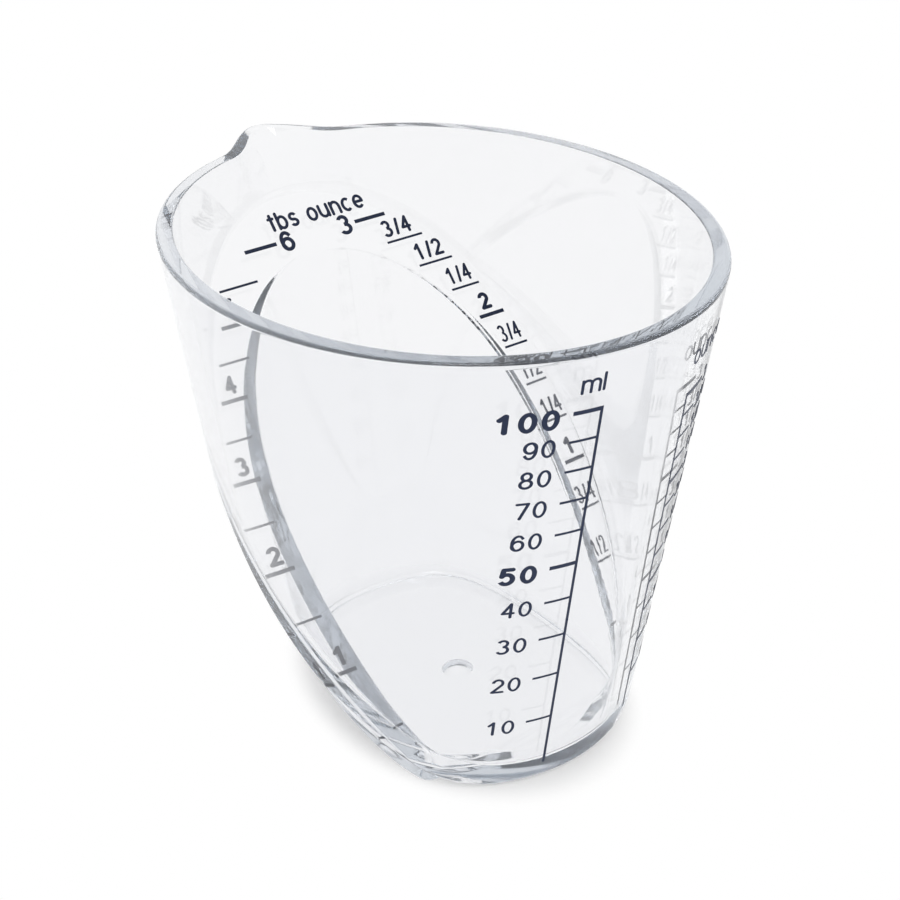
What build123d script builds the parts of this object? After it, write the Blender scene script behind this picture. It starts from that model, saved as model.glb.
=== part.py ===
from build123d import *
import math
import os

# Angled measuring cup in millimetres. X runs along the plane of symmetry:
# the spout is at -X and the low end of the ledge at +X. The table is at z = 0.

# Rim
cup_height = 62.0
rim_length = 74.2
rim_width = 59.0
rim_edge_radius = 0.5

# Upper wall, as its own taper reaches the table, measured from the rim's centre
base_front_reach = 23.6
base_back_reach = 33.5
base_width = 45.1
base_egg_share = 0.07

# Low body under the ledge, at the table and where its taper reaches the rim's height
low_back_at_table = 22.6
low_back_at_rim = 32.0
low_front_at_rim = 46.2
low_width_at_table = 32.7
low_width_at_rim = 56.0
low_egg_share = 0.09
low_square_share = 0.26

# Plastic thickness
wall = 2.0
floor_thickness = 2.2
ledge_thickness = 2.0
bottom_edge_radius = 0.8
floor_corner_radius = 1.2

# Ledge: how far under the rim its top face meets the back wall, and its slope
ledge_top_drop = 6.1
ledge_angle = 44.4

# Spout: how far it stands out of the rim and the half width of its mouth
spout_reach = 6.6
spout_inner_reach = 6.0
spout_half_width = 8.8
spout_land = 0.8
spout_outside_power = 2
spout_inside_power = 3

# Gate mark: a shallow round recess in the underside of the floor
gate_diameter = 4.0
gate_depth = 0.8

# Printed ink
ink_thickness = 0.06
ink_clearance = 0.02
line_weight = 0.3
bold_line_weight = 0.5
stroke_weight = 0.29
bold_stroke_weight = 0.5
ledge_stroke_weight = 0.4

# Millilitre scale outside
ml_step = 10
ml_bold_step = 50
ml_freeboard = 6.5
ml_line_foot_offset = 3.35
ml_line_head_offset = 3.6
ml_tick_length = 3.0
ml_number_gap = 1.3
ml_number_height = 2.25
ml_bold_number_height = 2.55
ml_number_drop = 0.35
ml_word_rise = 2.2
ml_word_height = 1.75
scale_line_bottom = 2.5

# Ounce scale outside
ounce_freeboard = 9.5
ounce_line_foot_offset = 10.75
ounce_line_head_offset = 9.3
ounce_tick_length = 2.6
ounce_whole_tick_length = 3.8
ounce_number_gap = 0.5
ounce_number_height = 1.95
ounce_word_rise = 3.65
ounce_word_height = 1.85

# Scales on the ledge
ledge_freeboard = 3.5
ledge_tick_outer_margin = 0.15
ledge_tick_longest = 5.3
ledge_tick_share = 0.68
tablespoon_top_tick_start = 5.0
ounce_top_tick_start = 6.5
ledge_top_tick_length = 4.5
ledge_number_height = 2.4
ledge_bold_number_height = 2.4
ledge_number_least_width = 2.2
ledge_top_number_height = 2.8
ledge_number_rise = 0.55
ledge_top_number_gap = 0.6
ledge_word_height = 2.0
ledge_word_rise = 1.6
ledge_word_gap = 0.65

# Lettering proportions, as shares of the letter's height
digit_width_share = 0.6
digit_gap_share = 0.15
bold_digit_width_share = 0.66
bold_digit_gap_share = 0.16
slash_width_share = 0.34
letter_width_share = 0.76
letter_gap_share = 0.09
letter_widths_share = {"m": 1.2, "l": 0.2, "t": 0.5, "s": 0.68}

# Sampling
side_points = 5
mouth_points = 10
front_points = 12
low_points = 16
upper_seam = math.radians(75)
low_seam = math.radians(105)
spout_span = math.radians(24)
area_steps = 120
level_steps = 60

ounce = 29.5735
tablespoon = 14.7868
slope = math.tan(math.radians(ledge_angle))
back_lean = (rim_length / 2 - base_back_reach) / cup_height
ledge_top = cup_height - ledge_top_drop
ledge_mid_height = ledge_top * (1 - slope * back_lean) - slope * (base_back_reach - wall)


def mix(low, high, share):
    return low + (high - low) * share


def egg(front, back, half_width, egg_share, square_share, angle):
    """Point of an egg-shaped closed curve with its front and back on the X axis."""
    centre = (front - back) / 2
    half_length = (front + back) / 2
    x = half_length * math.cos(angle) * (1 + square_share * math.sin(angle) ** 2)
    swell = 1 + egg_share * math.cos(angle) + square_share * math.cos(angle) ** 2
    return centre + x, half_width * math.sin(angle) * swell


def upper_point(z, angle, inset=0):
    """Point on the upper wall at height z, moved inwards by inset, without the spout."""
    low = egg(base_front_reach - inset, base_back_reach - inset,
              base_width / 2 - inset, base_egg_share, 0, angle)
    high = egg(rim_length / 2 - inset, rim_length / 2 - inset,
               rim_width / 2 - inset, 0, 0, angle)
    share = z / cup_height
    return mix(low[0], high[0], share), mix(low[1], high[1], share)


def low_point(z, angle, inset=0):
    """Point on the low body's wall at height z, moved inwards by inset."""
    low = egg(base_front_reach - inset, low_back_at_table - inset,
              low_width_at_table / 2 - inset, low_egg_share, low_square_share, angle)
    high = egg(low_front_at_rim - inset, low_back_at_rim - inset,
               low_width_at_rim / 2 - inset, 0, 0, angle)
    share = z / cup_height
    return mix(low[0], high[0], share), mix(low[1], high[1], share)


def spout_bulge(y, inside):
    """How far the spout stands out at the rim, at distance y from its middle."""
    if abs(y) >= spout_half_width:
        return 0
    reach = spout_inner_reach if inside else spout_reach
    power = spout_inside_power if inside else spout_outside_power
    return reach * math.cos(math.pi / 2 * y / spout_half_width) ** power


def spread(start, end, count):
    """Evenly spaced angles from start up to, but not including, end."""
    return [mix(start, end, i / count) for i in range(count)]


def upper_angles():
    """Angles round the upper outline, closer together at the spout, in three stretches."""
    mouth_start = math.pi - spout_span
    mouth_end = math.pi + spout_span
    side = spread(upper_seam, mouth_start, side_points)
    mouth = spread(mouth_start, mouth_end, mouth_points)
    return side + mouth + spread(mouth_end, upper_seam + 2 * math.pi, front_points)


def low_angles():
    return spread(low_seam, low_seam + 2 * math.pi, low_points)


def outline_face(points, angles, z):
    """Level face inside a smooth closed curve, which passes its points at the given angles."""
    shares = [(angle - angles[0]) / (2 * math.pi) for angle in angles] + [1]
    raised = [(x, y, z) for x, y in points]
    return make_face(Edge.make_spline(raised, periodic=True, parameters=shares))


def upper_part(bottom, top, inset, spouted=False):
    """Upper wall's solid between two heights, with the spout round its top if it has one."""
    faces = []
    angles = upper_angles()
    for z in (bottom, top):
        points = [upper_point(z, angle, inset) for angle in angles]
        if spouted and z == top:
            points = [(x - spout_bulge(y, inset > 0) * (x < 0), y) for x, y in points]
        faces.append(outline_face(points, angles, z))
    return loft(faces, ruled=True)


def low_part(bottom, inset, edge_radius):
    """Low body's solid from a height up to the rim, with a rounded bottom edge."""
    angles = low_angles()
    faces = []
    for z in (bottom, cup_height):
        points = [low_point(z, angle, inset) for angle in angles]
        faces.append(outline_face(points, angles, z))
    return rounded_bottom(loft(faces, ruled=True), edge_radius)


def rounded_bottom(solid, radius):
    return fillet(solid.edges().group_by(Axis.Z)[0], radius)


ledge_top_plane = Plane(origin=(0, 0, ledge_mid_height), x_dir=(0, 1, 0), z_dir=(slope, 0, 1))
ledge_drop = ledge_thickness / math.cos(math.radians(ledge_angle))
ledge_under_plane = Plane(origin=(0, 0, ledge_mid_height - ledge_drop), x_dir=(0, 1, 0),
                          z_dir=(slope, 0, 1))


ledge_under_top = (ledge_mid_height - ledge_drop + slope * base_back_reach) / (1 - slope * back_lean)
outer_spout_start = ledge_under_top + spout_land
inner_spout_start = ledge_top + spout_land


def upper_solid(inset):
    """Full solid of the outside of the upper wall and the spout, with sharp edges."""
    mouth = upper_part(outer_spout_start, cup_height, inset, True)
    return upper_part(0, outer_spout_start, inset) + mouth


def cup_envelope():
    """The cup's outside as a full solid, stepped at the ledge's underside."""
    upper = rounded_bottom(upper_part(0, outer_spout_start, 0), bottom_edge_radius)
    mouth = upper_part(outer_spout_start, cup_height, 0, True)
    mouth = fillet(mouth.edges().group_by(Axis.Z)[-1], rim_edge_radius)
    low = low_part(0, 0, bottom_edge_radius)
    return split(upper, ledge_under_plane, Keep.TOP) + mouth + split(low, ledge_under_plane, Keep.BOTTOM)


def cup_body():
    """One moulding: the envelope less the space above the ledge and the space below it."""
    above = rounded_bottom(upper_part(floor_thickness, inner_spout_start, wall), floor_corner_radius)
    mouth = upper_part(inner_spout_start, cup_height, wall, True)
    below = low_part(floor_thickness, wall, floor_corner_radius)
    space_above = split(above, ledge_top_plane, Keep.TOP) + mouth
    space_below = split(below, ledge_top_plane, Keep.BOTTOM)
    return cup_envelope() - space_above - space_below - gate_recess()


def gate_recess():
    ball_radius = ((gate_diameter / 2) ** 2 + gate_depth ** 2) / (2 * gate_depth)
    middle = (base_front_reach - low_back_at_table) / 2
    return Pos(middle, 0, gate_depth - ball_radius) * Sphere(ball_radius)


def strip_area(curve, lowest, highest):
    """Area between a half outline and the X axis, for x from lowest to highest."""
    area = 0
    for (x0, y0), (x1, y1) in zip(curve, curve[1:]):
        step = min(max(x1, lowest), highest) - min(max(x0, lowest), highest)
        area += step * (y0 + y1) / 2
    return area


def cavity_area(z):
    """Area of the cavity's level section: low body behind the ledge, upper wall in front."""
    meeting = (ledge_mid_height - z) / slope
    angles = [math.pi - math.pi * i / area_steps for i in range(area_steps + 1)]
    low = [low_point(z, angle, wall) for angle in angles]
    high = [upper_point(z, angle, wall) for angle in angles]
    return 2 * (strip_area(low, -rim_length, meeting) + strip_area(high, meeting, rim_length))


def level_table():
    """Heights and the volumes, in millilitres, held up to them."""
    step = (cup_height - floor_thickness) / level_steps
    heights = [floor_thickness + step * i for i in range(level_steps + 1)]
    areas = [cavity_area(z) for z in heights]
    volumes = [0]
    for a, b in zip(areas, areas[1:]):
        volumes.append(volumes[-1] + (a + b) / 2 * step / 1000)
    return heights, volumes


level_heights, level_volumes = level_table()


def level(volume):
    """Height of the liquid that fills the cup to a volume in millilitres."""
    for i in range(level_steps):
        if level_volumes[i + 1] >= volume:
            share = (volume - level_volumes[i]) / (level_volumes[i + 1] - level_volumes[i])
            return mix(level_heights[i], level_heights[i + 1], share)
    return cup_height


def marks_under(highest, unit):
    """How many whole units of volume, in millilitres, the cup holds up to a height."""
    count = 0
    while unit * (count + 1) < level_volumes[-1] and level(unit * (count + 1)) < highest:
        count += 1
    return count


# Letter forms: centre lines in a unit square, as lines, rings and bows.
# Rings and bows give a centre, two radii and, for a bow, its start and end angle.
forms_share = {
    "0": [("ring", 0.5, 0.5, 0.5, 0.5)],
    "1": [("line", 0.62, 0, 0.62, 1), ("line", 0.2, 0.76, 0.62, 1)],
    "2": [("bow", 0.5, 0.72, 0.46, 0.28, 170, -35), ("line", 0.88, 0.56, 0, 0), ("line", 0, 0, 1, 0)],
    "3": [("bow", 0.46, 0.76, 0.42, 0.24, 155, -90), ("bow", 0.46, 0.26, 0.5, 0.26, 90, -155)],
    "4": [("line", 0.74, 0, 0.74, 1), ("line", 0.74, 1, 0, 0.3), ("line", 0, 0.3, 1, 0.3)],
    "5": [("line", 0.9, 1, 0.2, 1), ("line", 0.2, 1, 0.1, 0.54), ("bow", 0.47, 0.33, 0.5, 0.33, 140, -150)],
    "6": [("ring", 0.5, 0.32, 0.5, 0.32), ("bow", 0.52, 0.5, 0.52, 0.5, 32, 245)],
    "7": [("line", 0, 1, 1, 1), ("line", 1, 1, 0.34, 0)],
    "8": [("ring", 0.5, 0.76, 0.4, 0.24), ("ring", 0.5, 0.26, 0.5, 0.26)],
    "9": [("ring", 0.5, 0.68, 0.5, 0.32), ("bow", 0.48, 0.5, 0.52, 0.5, 65, -148)],
    "/": [("line", 0, 0, 1, 1)],
    "m": [("line", 0, 0, 0, 1), ("line", 0.5, 0, 0.5, 0.7), ("line", 1, 0, 1, 0.7),
          ("bow", 0.25, 0.7, 0.25, 0.3, 180, 0), ("bow", 0.75, 0.7, 0.25, 0.3, 180, 0)],
    "l": [("line", 0.5, 0, 0.5, 1.35)],
    "t": [("line", 0.5, 0, 0.5, 1.3), ("line", 0, 1, 1, 1)],
    "b": [("line", 0, 0, 0, 1.35), ("ring", 0.5, 0.5, 0.5, 0.5)],
    "s": [("bow", 0.5, 0.75, 0.42, 0.25, 20, 270), ("bow", 0.5, 0.25, 0.46, 0.25, 90, -155)],
    "o": [("ring", 0.5, 0.5, 0.5, 0.5)],
    "u": [("line", 0, 1, 0, 0.45), ("bow", 0.5, 0.45, 0.5, 0.45, 180, 360), ("line", 1, 1, 1, 0)],
    "n": [("line", 0, 0, 0, 1), ("bow", 0.5, 0.55, 0.5, 0.45, 180, 0), ("line", 1, 0.55, 1, 0)],
    "c": [("bow", 0.5, 0.5, 0.5, 0.5, 50, 310)],
    "e": [("bow", 0.5, 0.5, 0.5, 0.5, 0, 318), ("line", 0, 0.5, 1, 0.5)],
}


def line_stroke(start, end, weight):
    """Straight stroke with round ends."""
    length = math.dist(start, end)
    turn = math.degrees(math.atan2(end[1] - start[1], end[0] - start[0]))
    middle = ((start[0] + end[0]) / 2, (start[1] + end[1]) / 2)
    return Pos(*middle) * Rot(0, 0, turn) * SlotCenterToCenter(length, weight)


def ring_stroke(centre, radii, weight):
    outside = Ellipse(radii[0] + weight / 2, radii[1] + weight / 2)
    inside = Ellipse(radii[0] - weight / 2, radii[1] - weight / 2)
    return Pos(*centre) * (outside - inside)


def bow_stroke(centre, radii, start, end, weight):
    """Part of a ring between two angles."""
    first, last = min(start, end), max(start, end)
    outside = EllipticalCenterArc((0, 0), radii[0] + weight / 2, radii[1] + weight / 2, first,
                                  arc_size=last - first)
    inside = EllipticalCenterArc((0, 0), radii[0] - weight / 2, radii[1] - weight / 2, first,
                                 arc_size=last - first)
    ends = [Line(outside @ 0, inside @ 0), Line(outside @ 1, inside @ 1)]
    return Pos(*centre) * make_face([outside, inside] + ends)


def glyph(character, width, height, weight):
    """One character with its lower left corner at the origin."""
    across, up = width - weight, height - weight
    sketch = None
    for form in forms_share[character]:
        kind, x, y, a, b = form[:5]
        at = (weight / 2 + x * across, weight / 2 + y * up)
        if kind == "line":
            stroke = line_stroke(at, (weight / 2 + a * across, weight / 2 + b * up), weight)
        elif kind == "ring":
            stroke = ring_stroke(at, (a * across, b * up), weight)
        else:
            stroke = bow_stroke(at, (a * across, b * up), form[5], form[6], weight)
        sketch = stroke if sketch is None else sketch + stroke
    return sketch


def character_size(character, height, weight):
    """Width of a character, and of the gap that follows it."""
    if character.isdigit() and weight == bold_stroke_weight:
        return height * bold_digit_width_share, height * bold_digit_gap_share
    if character.isdigit():
        return height * digit_width_share, height * digit_gap_share
    if character == "/":
        return height * slash_width_share, height * digit_gap_share / 2
    share = letter_widths_share.get(character, letter_width_share)
    return max(height * share, weight), height * letter_gap_share


def word_width(text, height, weight):
    sizes = [character_size(character, height, weight) for character in text]
    return sum(size[0] + size[1] for size in sizes) - sizes[-1][1]


def word(text, x, y, height, weight, anchor="left", room=rim_width):
    """Faces of a word on the XY plane, with its baseline at y, narrowed to fit its room."""
    total = word_width(text, height, weight)
    squeeze_share = min(1, room / total)
    x -= {"left": 0, "middle": total / 2, "right": total}[anchor] * squeeze_share
    faces = []
    for character in text:
        width, gap = [size * squeeze_share for size in character_size(character, height, weight)]
        faces.append(Pos(x, y) * glyph(character, width, height, weight * squeeze_share))
        x += width + gap
    return faces


def bar(x0, x1, y, weight):
    """Level graduation line from x0 to x1."""
    return Pos((x0 + x1) / 2, y) * Rectangle(abs(x1 - x0), weight)


front_plane = Plane(origin=(0, 0, 0), x_dir=(0, 1, 0), z_dir=(1, 0, 0))
ink_top = upper_solid(-ink_clearance - ink_thickness)
ink_bottom = upper_solid(-ink_clearance)


def print_on_wall(sketches):
    """Ink pressed straight onto the front of the outside wall."""
    solids = []
    for sketch in sketches:
        for face in sketch.faces():
            prism = extrude(front_plane * face, rim_length, dir=(1, 0, 0))
            skin = (prism & ink_top) - ink_bottom
            solids.extend(skin.solids())
    return Compound(children=solids)


def print_on_ledge(sketches):
    """Ink on the ledge's top face."""
    seat = ledge_top_plane.offset(ink_clearance)
    solids = []
    for sketch in sketches:
        for face in sketch.faces():
            solids.append(extrude(seat * face, ink_thickness, dir=seat.z_dir).solid())
    return Compound(children=solids)


def line_place(foot, head, z):
    """Distance from the plane of symmetry to a scale's long line, which leans a little."""
    return mix(foot, head, (z - scale_line_bottom) / (cup_height - scale_line_bottom))


def scale_frame(foot, head, ticks):
    """A scale's long line with its ticks, given as end, height and weight, as one patch of ink."""
    top = ticks[-1][1] + ticks[-1][2] / 2
    low, high = line_place(foot, head, scale_line_bottom), line_place(foot, head, top)
    half = line_weight / 2
    frame = Polygon((low - half, scale_line_bottom), (low + half, scale_line_bottom),
                    (high + half, top), (high - half, top), align=None)
    for end, z, weight in ticks:
        frame += bar(line_place(foot, head, z), end, z, weight)
    return [frame]


def ml_scale():
    """Millilitre graduations, numbers and unit word, seen from the front."""
    foot, head = -ml_line_foot_offset, -ml_line_head_offset
    ticks, numbers = [], []
    for i in range(marks_under(cup_height - ml_freeboard, ml_step)):
        step = ml_step * (i + 1)
        z = level(step)
        bold = step % ml_bold_step == 0
        end = line_place(foot, head, z) - ml_tick_length
        ticks.append((end, z, bold_line_weight if bold else line_weight))
        height = ml_bold_number_height if bold else ml_number_height
        weight = bold_stroke_weight if bold else stroke_weight
        base = z - ml_number_drop - height / 2
        numbers += word(str(step), end - ml_number_gap, base, height, weight, "right")
    unit_y = line_place(foot, head, z)
    unit = word("ml", unit_y, z + ml_word_rise, ml_word_height, stroke_weight, "right")
    return scale_frame(foot, head, ticks), numbers, unit


def ounce_text(quarters):
    """Name of a graduation that many quarter ounces up."""
    whole, rest = divmod(quarters, 4)
    return {0: str(whole), 1: "1/4", 2: "1/2", 3: "3/4"}[rest]


def ounce_scale():
    """Ounce graduations, numbers and unit word, seen from the front."""
    foot, head = ounce_line_foot_offset, ounce_line_head_offset
    ticks, numbers = [], []
    for i in range(marks_under(cup_height - ounce_freeboard, ounce / 4)):
        whole = (i + 1) % 4 == 0
        z = level((i + 1) * ounce / 4)
        end = line_place(foot, head, z) + (ounce_whole_tick_length if whole else ounce_tick_length)
        ticks.append((end, z, bold_line_weight if whole else line_weight))
        numbers += word(ounce_text(i + 1), end + ounce_number_gap, z - ounce_number_height / 2,
                        ounce_number_height, stroke_weight)
    unit_y = line_place(foot, head, z)
    unit = word("ounce", unit_y, z + ounce_word_rise, ounce_word_height, stroke_weight)
    return scale_frame(foot, head, ticks), numbers, unit


def half_width_at(point, x, z):
    """Half width of an inner outline at a given x and height, found by halving."""
    low, high = 0, math.pi
    for _ in range(40):
        middle = (low + high) / 2
        if point(z, middle, wall)[0] > x:
            low = middle
        else:
            high = middle
    return point(z, low, wall)[1]


def on_ledge(z):
    """Place of a level line on the ledge: distance up the slope, inner and outer y."""
    x = (ledge_mid_height - z) / slope
    up = (z - ledge_mid_height) / math.sin(math.radians(ledge_angle))
    return up, half_width_at(low_point, x, z), half_width_at(upper_point, x, z)


def ledge_mark(volume, side, text, whole):
    """Tick and number at one level on the ledge, close to the wall. Side is -1 or 1."""
    z = level(volume)
    up, inner, outer = on_ledge(z)
    weight = bold_line_weight if whole else line_weight
    number_height = ledge_bold_number_height if whole else ledge_number_height
    foot = weight / 2 + ledge_number_rise
    rise = math.sin(math.radians(ledge_angle))
    beside = on_ledge(z + (foot + number_height / 2) * rise)[2]
    above = on_ledge(z + (foot + number_height) * rise)[2]
    end = min(outer, beside) - ledge_tick_outer_margin
    length = min(ledge_tick_longest, (outer - inner) * ledge_tick_share)
    tick = bar(side * (end - length), side * end, up, weight)
    room = min(end, above - ledge_tick_outer_margin) - (end - length)
    if not text or room < ledge_number_least_width:
        return tick, []
    stroke = bold_stroke_weight if whole else ledge_stroke_weight
    middle = side * (end - length + room / 2)
    return tick, word(text, middle, up + foot, number_height, stroke, "middle", room)


def top_mark(volume, side, start, text):
    """Thick tick with its number beside it, at the top of the ledge."""
    up = on_ledge(level(volume))[0]
    tick = bar(side * start, side * (start + ledge_top_tick_length), up, bold_line_weight)
    anchor = "right" if side > 0 else "left"
    base = up - ledge_top_number_height / 2
    edge = side * (start - ledge_top_number_gap)
    number = word(text, edge, base, ledge_top_number_height, bold_stroke_weight, anchor)
    return tick, number, up


def ledge_scale(marks, side, top, unit):
    """Ticks, numbers and unit word of one branch of the ledge."""
    top_volume, start, top_text = top
    tick, numbers, up = top_mark(top_volume, side, start, top_text)
    ticks = [tick]
    for volume, text, whole in marks:
        tick, number = ledge_mark(volume, side, text, whole)
        ticks.append(tick)
        numbers += number
    edge = side * ledge_word_gap
    anchor = "left" if side > 0 else "right"
    unit_word = word(unit, edge, up + ledge_word_rise, ledge_word_height, ledge_stroke_weight, anchor)
    return ticks, numbers, unit_word


def tablespoon_ledge():
    """Half tablespoons up the ledge, with a number at every whole one."""
    count = marks_under(ledge_top - ledge_freeboard, tablespoon / 2)
    marks = []
    for half in range(1, count + 1):
        text = str(half // 2) if half % 2 == 0 else ""
        marks.append((half * tablespoon / 2, text, half % 2 == 0))
    top_text = marks.pop()[1] or "1/2"
    return ledge_scale(marks, -1, (count * tablespoon / 2, tablespoon_top_tick_start, top_text), "tbs")


def ounce_ledge():
    """Quarter ounces up the ledge, each with its number."""
    count = marks_under(ledge_top - ledge_freeboard, ounce / 4)
    marks = [(quarter * ounce / 4, ounce_text(quarter), quarter % 4 == 0) for quarter in range(1, count)]
    return ledge_scale(marks, 1, (count * ounce / 4, ounce_top_tick_start, ounce_text(count)), "ounce")


def write(name, shape, middle):
    """Write one node, moved so that the cup's box is centred over the origin."""
    export_step(Pos(-middle.X, -middle.Y, 0) * shape, os.path.join("parts", name + ".step"))


def write_cup():
    body = cup_body()
    middle = body.bounding_box().center()
    print("The rim's centre is", round(-middle.X, 4), "from the origin along X")
    write("cup_body", body, middle)
    scales = {
        "wall_millilitre": (ml_scale(), print_on_wall),
        "wall_ounce": (ounce_scale(), print_on_wall),
        "ledge_tablespoon": (tablespoon_ledge(), print_on_ledge),
        "ledge_ounce": (ounce_ledge(), print_on_ledge),
    }
    for scale, (groups, printer) in scales.items():
        for group, ending in zip(groups, ("graduations", "numbers", "unit_word")):
            write(scale + "_" + ending, printer(group), middle)


os.makedirs("parts", exist_ok=True)
write_cup()
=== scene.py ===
import bpy
import bmesh
import math
from mathutils import Matrix, Vector
from mathutils.bvhtree import BVHTree


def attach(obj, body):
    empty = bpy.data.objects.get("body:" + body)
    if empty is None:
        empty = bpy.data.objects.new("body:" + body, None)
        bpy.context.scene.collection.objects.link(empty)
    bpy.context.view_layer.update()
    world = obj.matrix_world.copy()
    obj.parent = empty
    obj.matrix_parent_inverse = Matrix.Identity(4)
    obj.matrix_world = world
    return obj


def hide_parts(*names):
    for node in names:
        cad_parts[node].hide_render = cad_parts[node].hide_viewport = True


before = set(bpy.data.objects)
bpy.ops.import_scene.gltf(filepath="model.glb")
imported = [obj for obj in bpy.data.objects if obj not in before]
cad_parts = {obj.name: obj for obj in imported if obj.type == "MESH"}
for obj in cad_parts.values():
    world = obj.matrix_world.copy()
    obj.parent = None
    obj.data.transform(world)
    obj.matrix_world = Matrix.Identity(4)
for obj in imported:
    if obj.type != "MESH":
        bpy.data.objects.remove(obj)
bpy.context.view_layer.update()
mm = 0.001
print("frame loaded with", len(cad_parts), "nodes")


def linearColour(hexColour):
    # sRGB hex to the linear values that the shaders use
    parts = [int(hexColour[i:i + 2], 16) / 255 for i in (1, 3, 5)]
    return [p / 12.92 if p <= 0.04045 else ((p + 0.055) / 1.055) ** 2.4 for p in parts] + [1.0]


def addNode(tree, kind, settings=None, values=None, links=None):
    # settings are node properties, values are socket values, links are (input, node, output)
    node = tree.nodes.new(kind)
    for name, value in (settings or {}).items():
        setattr(node, name, value)
    for name, value in (values or {}).items():
        node.inputs[name].default_value = value
    for name, source, output in (links or []):
        tree.links.new(source.outputs[output], node.inputs[name])
    return node


def newMaterial(name):
    material = bpy.data.materials.new(name)
    material.use_nodes = True
    tree = material.node_tree
    tree.nodes.clear()
    return material, tree


# Clear styrene plastic, injection moulded in a polished tool. It looks like faintly blue-grey glass,
# with soft slow waves from the flow of the melt.
plastic = {
    "ior": 1.57,
    "roughness": 0.02,
    "tint": "#fcfcfd",
    "haze": 0.026,  # the share of the surface that scatters light
    "hazeColour": "#c9ced6",
    "absorbed": "#9db0c2",
    "density": 12.0,  # per metre of plastic
    "waveLength": 9.0,  # millimetres, as the height is
    "waveHeight": 0.004,
}


def clearStyrene():
    material, tree = newMaterial("clear_styrene_moulded")
    place = addNode(tree, "ShaderNodeTexCoord")
    waves = addNode(tree, "ShaderNodeTexNoise", None,
                    {"Scale": 1 / (plastic["waveLength"] * mm), "Detail": 1.0, "Roughness": 0.4},
                    [("Vector", place, "Object")])
    bump = addNode(tree, "ShaderNodeBump", None,
                   {"Strength": 1.0, "Distance": plastic["waveHeight"] * mm},
                   [("Height", waves, "Fac")])
    surface = addNode(tree, "ShaderNodeBsdfPrincipled", None,
                      {"Base Color": linearColour(plastic["tint"]), "Roughness": plastic["roughness"],
                       "IOR": plastic["ior"], "Transmission Weight": 1.0},
                      [("Normal", bump, "Normal")])
    haze = addNode(tree, "ShaderNodeBsdfDiffuse", None,
                   {"Color": linearColour(plastic["hazeColour"])})
    hazed = addNode(tree, "ShaderNodeMixShader", None, {0: plastic["haze"]},
                    [(1, surface, "BSDF"), (2, haze, "BSDF")])
    tint = addNode(tree, "ShaderNodeVolumeAbsorption", None,
                   {"Color": linearColour(plastic["absorbed"]), "Density": plastic["density"]})
    addNode(tree, "ShaderNodeOutputMaterial", None, None,
            [("Surface", hazed, "Shader"), ("Volume", tint, "Volume")])
    return material


# Solvent pad-printing ink, cured. It looks near black with a navy cast and a soft sheen.
ink = {
    "colour": "#0e1a33",
    "thinColour": "#1a2845",
    "roughness": 0.38,
    "sheen": 0.25,
    "speckle": 0.35,  # millimetres
}


def navyInk():
    material, tree = newMaterial("navy_pad_printing_ink")
    place = addNode(tree, "ShaderNodeTexCoord")
    speckle = addNode(tree, "ShaderNodeTexNoise", None,
                      {"Scale": 1 / (ink["speckle"] * mm), "Detail": 2.0},
                      [("Vector", place, "Object")])
    # the mix node's colour sockets are inputs 6 and 7 and output 2
    colour = addNode(tree, "ShaderNodeMix", {"data_type": "RGBA"},
                     {6: linearColour(ink["colour"]), 7: linearColour(ink["thinColour"])},
                     [("Factor", speckle, "Fac")])
    surface = addNode(tree, "ShaderNodeBsdfPrincipled", None,
                      {"Roughness": ink["roughness"], "Specular IOR Level": ink["sheen"]},
                      [("Base Color", colour, 2)])
    addNode(tree, "ShaderNodeOutputMaterial", None, None, [("Surface", surface, "BSDF")])
    return material


# The cup's sizes in millimetres and degrees. X runs along the plane of symmetry, with the spout at -X.
# Reaches to the front and back are measured from the rim's centre.
cup = {
    "rimCentre": 2.951,
    "height": 62.0,
    "rimLength": 74.2,
    "rimWidth": 59.0,
    "baseFront": 23.6,
    "baseBack": 33.5,
    "baseWidth": 45.1,
    "baseEgg": 0.07,
    "lowBackAtTable": 22.6,
    "lowBackAtRim": 32.0,
    "lowFrontAtRim": 46.2,
    "lowWidthAtTable": 32.7,
    "lowWidthAtRim": 56.0,
    "lowEgg": 0.09,
    "lowSquare": 0.26,
    "wall": 2.0,
    "floor": 2.2,
    "ledge": 2.0,
    "ledgeMid": 21.874,  # the height of the ledge's plane straight under the rim's centre
    "ledgeAngle": 44.4,
    "spoutReach": 6.6,
    "spoutPower": 2,  # a higher power makes a more pointed spout
    "spoutInnerReach": 6.0,
    "spoutInnerPower": 3,
    "spoutHalfWidth": 8.8,
    "spoutLand": 0.8,
    "gateDiameter": 4.0,
    "gateDepth": 0.8,
    "gateRings": (1.12, 1.04, 1.0, 0.96, 0.85, 0.7, 0.5, 0.25, 0.08),  # shares of its radius
    "rimEdge": 0.5,
    "rimInnerEdge": 0.15,
    "bottomEdge": 0.8,
    "floorCorner": 1.2,
    "ledgeEdge": 0.8,
    "ledgeCorner": 0.9,
    "stepCorner": 0.35,
    "margin": 0.1,  # how far a corner of the low body stays inside the next one out
    "frontMargin": 2.2,  # the same at the front, where the ledge runs out
    "footReach": 3.0,  # the height over the floor or table below which the front margin takes over
    "blend": 0.5,
    "spoutSpan": 26,  # to each side of the spout, where the sections lie closer together
    "spoutSegments": 72,
    "sideSegments": 168,
}
slope = math.tan(math.radians(cup["ledgeAngle"]))
drop = cup["ledge"] / math.cos(math.radians(cup["ledgeAngle"]))
middleX = (cup["baseFront"] - cup["lowBackAtTable"]) / 2


def mix(low, high, share):
    return low + (high - low) * share


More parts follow.
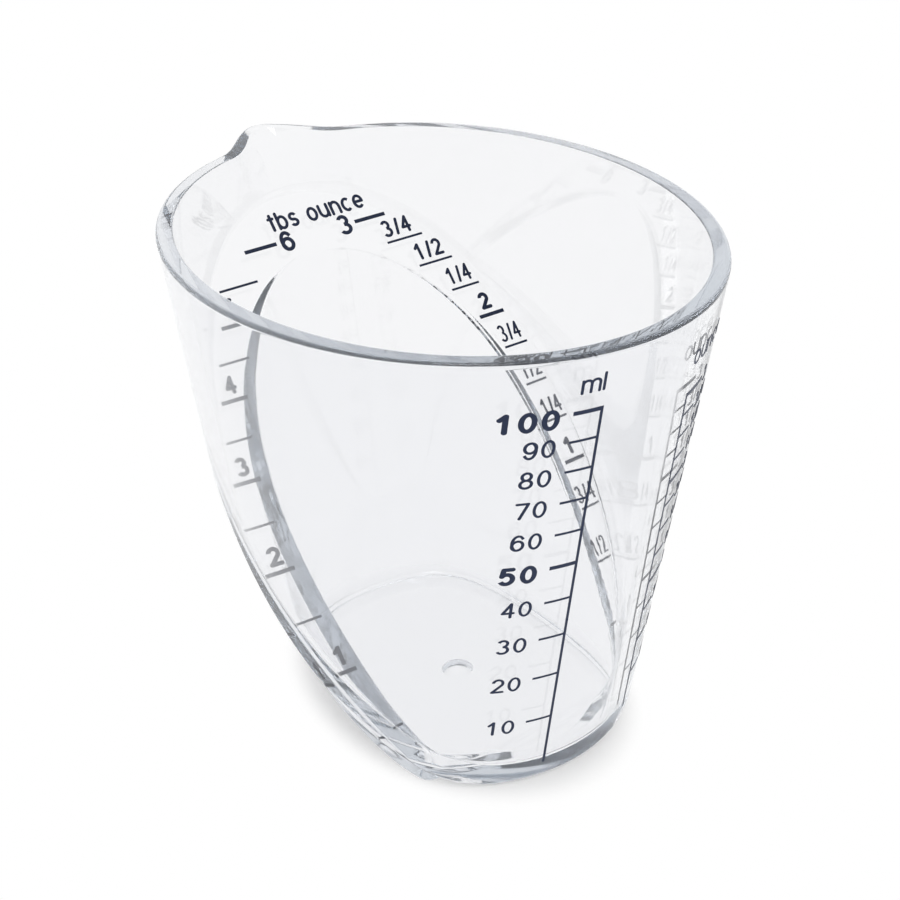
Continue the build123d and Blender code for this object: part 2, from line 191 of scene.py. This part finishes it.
def egg(front, back, halfWidth, eggShare, squareShare, angle):
    halfLength = (front + back) / 2
    x = (front - back) / 2 + halfLength * math.cos(angle) * (1 + squareShare * math.sin(angle) ** 2)
    swell = 1 + eggShare * math.cos(angle) + squareShare * math.cos(angle) ** 2
    return Vector((x, halfWidth * math.sin(angle) * swell))


def upperEnds(angle, inset):
    # the upper wall's ruling: its point at the table and its point at the rim's height
    low = egg(cup["baseFront"] - inset, cup["baseBack"] - inset,
              cup["baseWidth"] / 2 - inset, cup["baseEgg"], 0, angle)
    halfRim = cup["rimLength"] / 2 - inset
    return low, egg(halfRim, halfRim, cup["rimWidth"] / 2 - inset, 0, 0, angle)


def lowEnds(angle, inset):
    # the low body's ruling, between the same two heights
    low = egg(cup["baseFront"] - inset, cup["lowBackAtTable"] - inset,
              cup["lowWidthAtTable"] / 2 - inset, cup["lowEgg"], cup["lowSquare"], angle)
    return low, egg(cup["lowFrontAtRim"] - inset, cup["lowBackAtRim"] - inset,
                    cup["lowWidthAtRim"] / 2 - inset, 0, 0, angle)


def onRuling(ends, z):
    flat = ends[0].lerp(ends[1], z / cup["height"])
    return Vector((flat.x, flat.y, z))


def meetsPlane(ends, middle, lowest):
    # where a ruling meets a plane of the ledge's slope, or its point at the lowest height
    run = (ends[1].x - ends[0].x) / cup["height"]
    z = (middle - slope * ends[0].x) / (1 + slope * run)
    return onRuling(ends, max(z, lowest))


def facing(ends, direction):
    # the curve's own angle at which its outline on the table lies in a direction from the middle
    direction %= 2 * math.pi
    mirrored = direction > math.pi
    wanted = 2 * math.pi - direction if mirrored else direction
    low, high = 0.0, math.pi
    for _ in range(30):
        middle = (low + high) / 2
        place = ends(middle, 0)[0]
        if math.atan2(place.y, place.x - middleX) < wanted:
            low = middle
        else:
            high = middle
    return 2 * math.pi - low if mirrored else low


def pulledIn(point, limit, margin):
    # a point of the low body, kept softly inside the upper wall, which takes over at the front
    centre = Vector((middleX, 0))
    reach = (point.xy - centre).length
    most = (limit.xy - centre).length - margin
    share = min(max(0.5 + 0.5 * (most - reach) / cup["blend"], 0), 1)
    kept = mix(most, reach, share) - cup["blend"] * share * (1 - share)
    place = centre + (point.xy - centre) * (kept / reach)
    return Vector((place.x, place.y, point.z))


def ontoPlane(point, planeMid, lowest):
    return Vector((point.x, point.y, max(planeMid - slope * point.x, lowest)))


def spoutBulge(y, reach, power):
    share = min(abs(y) / cup["spoutHalfWidth"], 1)
    return reach * math.cos(math.pi / 2 * share) ** power


def rimPoint(ends, reach, power):
    point = onRuling(ends, cup["height"])
    if point.x < 0:
        point.x -= spoutBulge(point.y, reach, power)
    return point


def backHeight(middle, inset):
    # where a plane of the ledge's slope meets the wall under the spout
    lean = (cup["rimLength"] / 2 - cup["baseBack"]) / cup["height"]
    return (middle + slope * (cup["baseBack"] - inset)) / (1 - slope * lean)


# An arc takes at most a share of the flat on each side, and the point beside it lies close to its end
rounding = {"none": 1e-6, "mostOfFlat": 0.42, "beside": 0.12, "besideShare": 0.05}


def rounded(before, corner, after, radius, steps):
    # an arc in place of a corner, with one point on each flat close beside it
    toBefore, toAfter = before - corner, after - corner
    if toBefore.length < rounding["none"] or toAfter.length < rounding["none"]:
        return [corner.copy() for _ in range(steps + 3)]
    turn = math.pi - toBefore.angle(toAfter)
    flats = toBefore.length, toAfter.length
    reach = min(radius * math.tan(turn / 2), *(rounding["mostOfFlat"] * flat for flat in flats))
    beside = min(rounding["beside"], *(rounding["besideShare"] * flat for flat in flats))
    start = corner + toBefore.normalized() * reach
    end = corner + toAfter.normalized() * reach
    weight = math.cos(turn / 2)
    points = [corner + toBefore.normalized() * (reach + beside)]
    for i in range(steps + 1):
        s = i / steps
        a, b, c = (1 - s) ** 2, 2 * s * (1 - s) * weight, s ** 2
        points.append((start * a + corner * b + end * c) / (a + b + c))
    return points + [corner + toAfter.normalized() * (reach + beside)]


def closeness(height):
    # 1 at no height, falling to 0 at the reach of the cup's foot
    return min(max(1 - height / cup["footReach"], 0), 1)


def gateDish(direction):
    # the gate mark: a shallow dish in the middle of the underside
    radius, depth = cup["gateDiameter"] / 2, cup["gateDepth"]
    middle = Vector((middleX, 0, 0))
    out = Vector((math.cos(direction), math.sin(direction), 0))
    return [middle + out * radius * share + Vector((0, 0, depth * (1 - min(share, 1) ** 2)))
            for share in cup["gateRings"]]


def cupProfile(direction):
    # one section of the cup, from the edge of the floor over the rim to the middle of the base
    wall, floor, ledgeMid = cup["wall"], cup["floor"], cup["ledgeMid"]
    underMid = ledgeMid - drop
    upperAngle, lowAngle = facing(upperEnds, direction), facing(lowEnds, direction)
    innerUpper, innerLow = upperEnds(upperAngle, wall), lowEnds(lowAngle, wall)
    outerUpper, outerLow = upperEnds(upperAngle, 0), lowEnds(lowAngle, 0)
    ledgeOuter = meetsPlane(innerUpper, ledgeMid, floor)
    stepOuter = meetsPlane(outerUpper, underMid, 0)
    onFloor, onTable = closeness(ledgeOuter.z - floor), closeness(stepOuter.z)
    ledgeMargin = mix(cup["margin"], cup["frontMargin"], onFloor)
    stepMargin = mix(cup["margin"], cup["frontMargin"], onTable)
    ledgeInner = pulledIn(meetsPlane(innerLow, ledgeMid, floor), ledgeOuter, ledgeMargin)
    ledgeInner = ontoPlane(ledgeInner, ledgeMid, floor)
    floorEdge = pulledIn(onRuling(innerLow, floor), ledgeInner, cup["margin"])
    stepInner = pulledIn(meetsPlane(outerLow, underMid, 0), stepOuter, stepMargin)
    stepInner = ontoPlane(stepInner, underMid, 0)
    baseEdge = pulledIn(onRuling(outerLow, 0), stepInner, cup["margin"])
    # each corner with its radius and the steps of its arc; one without steps stays a plain point
    corners = [
        (Vector((middleX, 0, floor)), 0, 0),
        (floorEdge, cup["floorCorner"], 5),
        (ledgeInner, cup["ledgeEdge"], 6),
        (ledgeOuter, mix(cup["ledgeCorner"], cup["floorCorner"], onFloor), 5),
        (onRuling(innerUpper, backHeight(ledgeMid, wall) + cup["spoutLand"]), 0, 0),
        (rimPoint(innerUpper, cup["spoutInnerReach"], cup["spoutInnerPower"]), cup["rimInnerEdge"], 3),
        (rimPoint(outerUpper, cup["spoutReach"], cup["spoutPower"]), cup["rimEdge"], 6),
        (onRuling(outerUpper, backHeight(underMid, 0) + cup["spoutLand"]), 0, 0),
        (stepOuter, mix(cup["stepCorner"], cup["bottomEdge"], onTable), 6),
        (stepInner, cup["stepCorner"], 4),
        (baseEdge, cup["bottomEdge"], 6),
        (Vector((middleX, 0, 0)), 0, 0),
    ]
    points = []
    for i in range(1, len(corners) - 1):
        corner, radius, steps = corners[i]
        if steps:
            points += rounded(corners[i - 1][0], corner, corners[i + 1][0], radius, steps)
        else:
            points.append(corner)
    return points + gateDish(direction)


def cupAngles():
    # closer together round the spout, which is at half a turn
    span = math.radians(cup["spoutSpan"])
    fine = [mix(math.pi - span, math.pi + span, i / cup["spoutSegments"])
            for i in range(cup["spoutSegments"])]
    coarse = [mix(math.pi + span, 3 * math.pi - span, i / cup["sideSegments"])
              for i in range(cup["sideSegments"])]
    return fine + coarse


# In millimetres: points closer than the weld become one, and slivers thinner than the other go
cleaning = {"weld": 0.0005, "sliver": 0.0002}


def placeRing(ring, points):
    for vertex, point in zip(ring, points):
        vertex.co = (point + Vector((cup["rimCentre"], 0, 0))) * mm


def ringEdges(bm, ring):
    return [bm.edges.get((a, b)) for a, b in zip(ring, ring[1:] + ring[:1])]


def followingRing(bm, ring, points):
    # pull the last ring's edges out into a new ring
    made = bmesh.ops.extrude_edge_only(bm, edges=ringEdges(bm, ring))["geom"]
    fresh = {item for item in made if isinstance(item, bmesh.types.BMVert)}
    following = [next(edge.other_vert(vertex) for edge in vertex.link_edges
                      if edge.other_vert(vertex) in fresh) for vertex in ring]
    placeRing(following, points)
    return following


def settleFaces(bm):
    # the extrusions leave the faces in an order that differs from run to run
    bm.verts.index_update()
    inOrder = sorted(bm.faces, key=lambda face: sorted(vertex.index for vertex in face.verts))
    for number, face in enumerate(inOrder):
        face.index = number
    bm.faces.sort()


def makeCupBody(material):
    # the floor's face, then ring after ring over the rim and down to the gate mark's face
    angles = cupAngles()
    sections = [cupProfile(angle) for angle in angles]
    bm = bmesh.new()
    ring = bmesh.ops.create_circle(bm, segments=len(angles), radius=1.0)["verts"]
    placeRing(ring, [section[0] for section in sections])
    bm.edges.ensure_lookup_table()
    bmesh.ops.contextual_create(bm, geom=list(bm.edges))
    for level in range(1, len(sections[0])):
        ring = followingRing(bm, ring, [section[level] for section in sections])
    bmesh.ops.contextual_create(bm, geom=ringEdges(bm, ring))
    bmesh.ops.remove_doubles(bm, verts=bm.verts, dist=cleaning["weld"] * mm)
    bmesh.ops.dissolve_degenerate(bm, edges=bm.edges, dist=cleaning["sliver"] * mm)
    bmesh.ops.recalc_face_normals(bm, faces=bm.faces)
    settleFaces(bm)
    body = finishPiece(bm, "clear_cup_body", material, True)
    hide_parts("cup_body")
    return body


def finishPiece(bm, name, material, smooth):
    mesh = bpy.data.meshes.new(name)
    for face in bm.faces:
        face.smooth = smooth
    bm.to_mesh(mesh)
    openEdges = sum(1 for edge in bm.edges if not edge.is_manifold)
    print(name, "has", len(mesh.polygons), "faces and", openEdges, "open edges")
    bm.free()
    piece = bpy.data.objects.new(name, mesh)
    bpy.context.scene.collection.objects.link(piece)
    mesh.materials.append(material)
    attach(piece, "root")
    return piece


# How many millimetres the print is pressed into the plastic, so that no air shows between them
printing = {"depth": 0.045}


def bedPrint(nodeName, surface, material):
    bm = bmesh.new()
    bm.from_mesh(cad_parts[nodeName].data)
    bmesh.ops.remove_doubles(bm, verts=bm.verts, dist=cleaning["weld"] * mm)
    for vertex in bm.verts:
        normal = surface.find_nearest(vertex.co)[1]
        vertex.co -= normal * printing["depth"] * mm
    piece = finishPiece(bm, nodeName + "_print", material, False)
    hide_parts(nodeName)


# The studio: a white room, a white table and one soft lamp overhead. The shadow and the gap are in
# millimetres, and the table and lamp in metres.
studio = {
    "sky": 0.97,
    "tableHalf": 3.0,
    "tableGap": 0.05,
    "lift": 0.2,  # the share of white close round the cup; further off the table is all white
    "throughLift": 0.95,  # the same where the table is seen through the plastic
    "shadowCentre": (3.5, 0, 0),
    "shadowReach": (23.1, 16.4, 1000.0),
    "shadowFade": 1.25,
    "lampPower": 1.0,
    "lampSize": 0.34,
    "lampPlace": (0.15, -0.2, 1.0),
    "bounces": 64,
}


def makeStage():
    # a white table that keeps the cup's close shadow and lifts the faint one round it to white
    bm = bmesh.new()
    bmesh.ops.create_grid(bm, x_segments=1, y_segments=1, size=studio["tableHalf"])
    mesh = bpy.data.meshes.new("white_table")
    bmesh.ops.translate(bm, verts=bm.verts, vec=(0, 0, -studio["tableGap"] * mm))
    bm.to_mesh(mesh)
    bm.free()
    table = bpy.data.objects.new("white_table", mesh)
    bpy.context.scene.collection.objects.link(table)
    material, tree = newMaterial("white_paper_sweep")
    paper = addNode(tree, "ShaderNodeBsdfDiffuse", None, {"Color": (1, 1, 1, 1)})
    white = addNode(tree, "ShaderNodeEmission", None, {"Color": (1, 1, 1, 1), "Strength": 1.0})
    place = addNode(tree, "ShaderNodeTexCoord")
    shift = addNode(tree, "ShaderNodeVectorMath", {"operation": "SUBTRACT"},
                    {1: [v * mm for v in studio["shadowCentre"]]}, [(0, place, "Object")])
    scaled = addNode(tree, "ShaderNodeVectorMath", {"operation": "DIVIDE"},
                     {1: [v * mm for v in studio["shadowReach"]]}, [(0, shift, "Vector")])
    away = addNode(tree, "ShaderNodeVectorMath", {"operation": "LENGTH"}, None,
                   [(0, scaled, "Vector")])
    far = addNode(tree, "ShaderNodeMapRange", {"interpolation_type": "SMOOTHSTEP"},
                  {"From Min": 1.0, "From Max": studio["shadowFade"],
                   "To Min": studio["lift"], "To Max": 1.0}, [("Value", away, "Value")])
    # the white shows to the camera, clear plastic and gloss, and doesn't light dull surfaces
    ray = addNode(tree, "ShaderNodeLightPath")
    seen = addNode(tree, "ShaderNodeMath", {"operation": "SUBTRACT"}, {0: 1.0},
                   [(1, ray, "Is Diffuse Ray")])
    through = addNode(tree, "ShaderNodeMath", {"operation": "MULTIPLY"}, {1: studio["throughLift"]},
                      [(0, ray, "Is Transmission Ray")])
    lifted = addNode(tree, "ShaderNodeMath", {"operation": "MAXIMUM"}, None,
                     [(0, through, "Value"), (1, far, "Result")])
    share = addNode(tree, "ShaderNodeMath", {"operation": "MULTIPLY"}, None,
                    [(0, seen, "Value"), (1, lifted, "Value")])
    both = addNode(tree, "ShaderNodeMixShader", None, None,
                   [(0, share, "Value"), (1, paper, "BSDF"), (2, white, "Emission")])
    addNode(tree, "ShaderNodeOutputMaterial", None, None, [("Surface", both, "Shader")])
    mesh.materials.append(material)


def makeWorld():
    world = bpy.data.worlds.new("studio")
    bpy.context.scene.world = world
    world.use_nodes = True
    background = world.node_tree.nodes["Background"]
    background.inputs["Color"].default_value = (1, 1, 1, 1)
    background.inputs["Strength"].default_value = studio["sky"]


def makeLamp():
    data = bpy.data.lights.new("overhead_softbox", "AREA")
    data.energy = studio["lampPower"]
    data.size = studio["lampSize"]
    lamp = bpy.data.objects.new("overhead_softbox", data)
    lamp.location = studio["lampPlace"]
    lamp.rotation_euler = Vector(studio["lampPlace"]).to_track_quat("Z", "Y").to_euler()
    bpy.context.scene.collection.objects.link(lamp)


# The camera as the photograph was taken. Its place is in millimetres from the rim's centre on the
# table, its lens and sensor are in millimetres too, and its angles are in degrees.
view = {
    "azimuth": 57.99,
    "elevation": 29.96,
    "roll": -2.78,
    "place": (152.429, -94.537, 136.166),
    "lens": 68.86,
    "sensor": 36.0,
    "nearest": 10.0,
}


def makeCamera():
    azimuth, elevation, roll = (math.radians(view[name]) for name in ("azimuth", "elevation", "roll"))
    back = Vector((math.cos(elevation) * math.sin(azimuth),
                   -math.cos(elevation) * math.cos(azimuth), math.sin(elevation)))
    level = Vector((math.cos(azimuth), math.sin(azimuth), 0))
    upright = back.cross(level)
    right = level * math.cos(roll) + upright * math.sin(roll)
    up = back.cross(right)
    turn = Matrix((right, up, back)).transposed().to_4x4()
    place = Vector(view["place"]) + Vector((cup["rimCentre"], 0, 0))
    data = bpy.data.cameras.new("camera")
    data.lens = view["lens"]
    data.sensor_width = view["sensor"]
    data.clip_start = view["nearest"] * mm
    camera = bpy.data.objects.new("camera", data)
    bpy.context.scene.collection.objects.link(camera)
    camera.matrix_world = Matrix.Translation(place * mm) @ turn
    bpy.context.scene.camera = camera


def main():
    plasticMaterial = clearStyrene()
    inkMaterial = navyInk()
    body = makeCupBody(plasticMaterial)
    surface = BVHTree.FromObject(body, bpy.context.evaluated_depsgraph_get())
    for nodeName in sorted(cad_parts):
        if nodeName != "cup_body":
            bedPrint(nodeName, surface, inkMaterial)
    makeStage()
    makeWorld()
    makeLamp()
    makeCamera()
    print("table, lamp and camera made")
    scene = bpy.context.scene
    scene.view_settings.view_transform = "Standard"
    # light passes many faces of clear plastic before it has left the cup
    scene.cycles.max_bounces = studio["bounces"]
    scene.cycles.transmission_bounces = studio["bounces"]
    scene.cycles.glossy_bounces = studio["bounces"]
    scene.cycles.use_denoising = True
    print("scene made")


main()
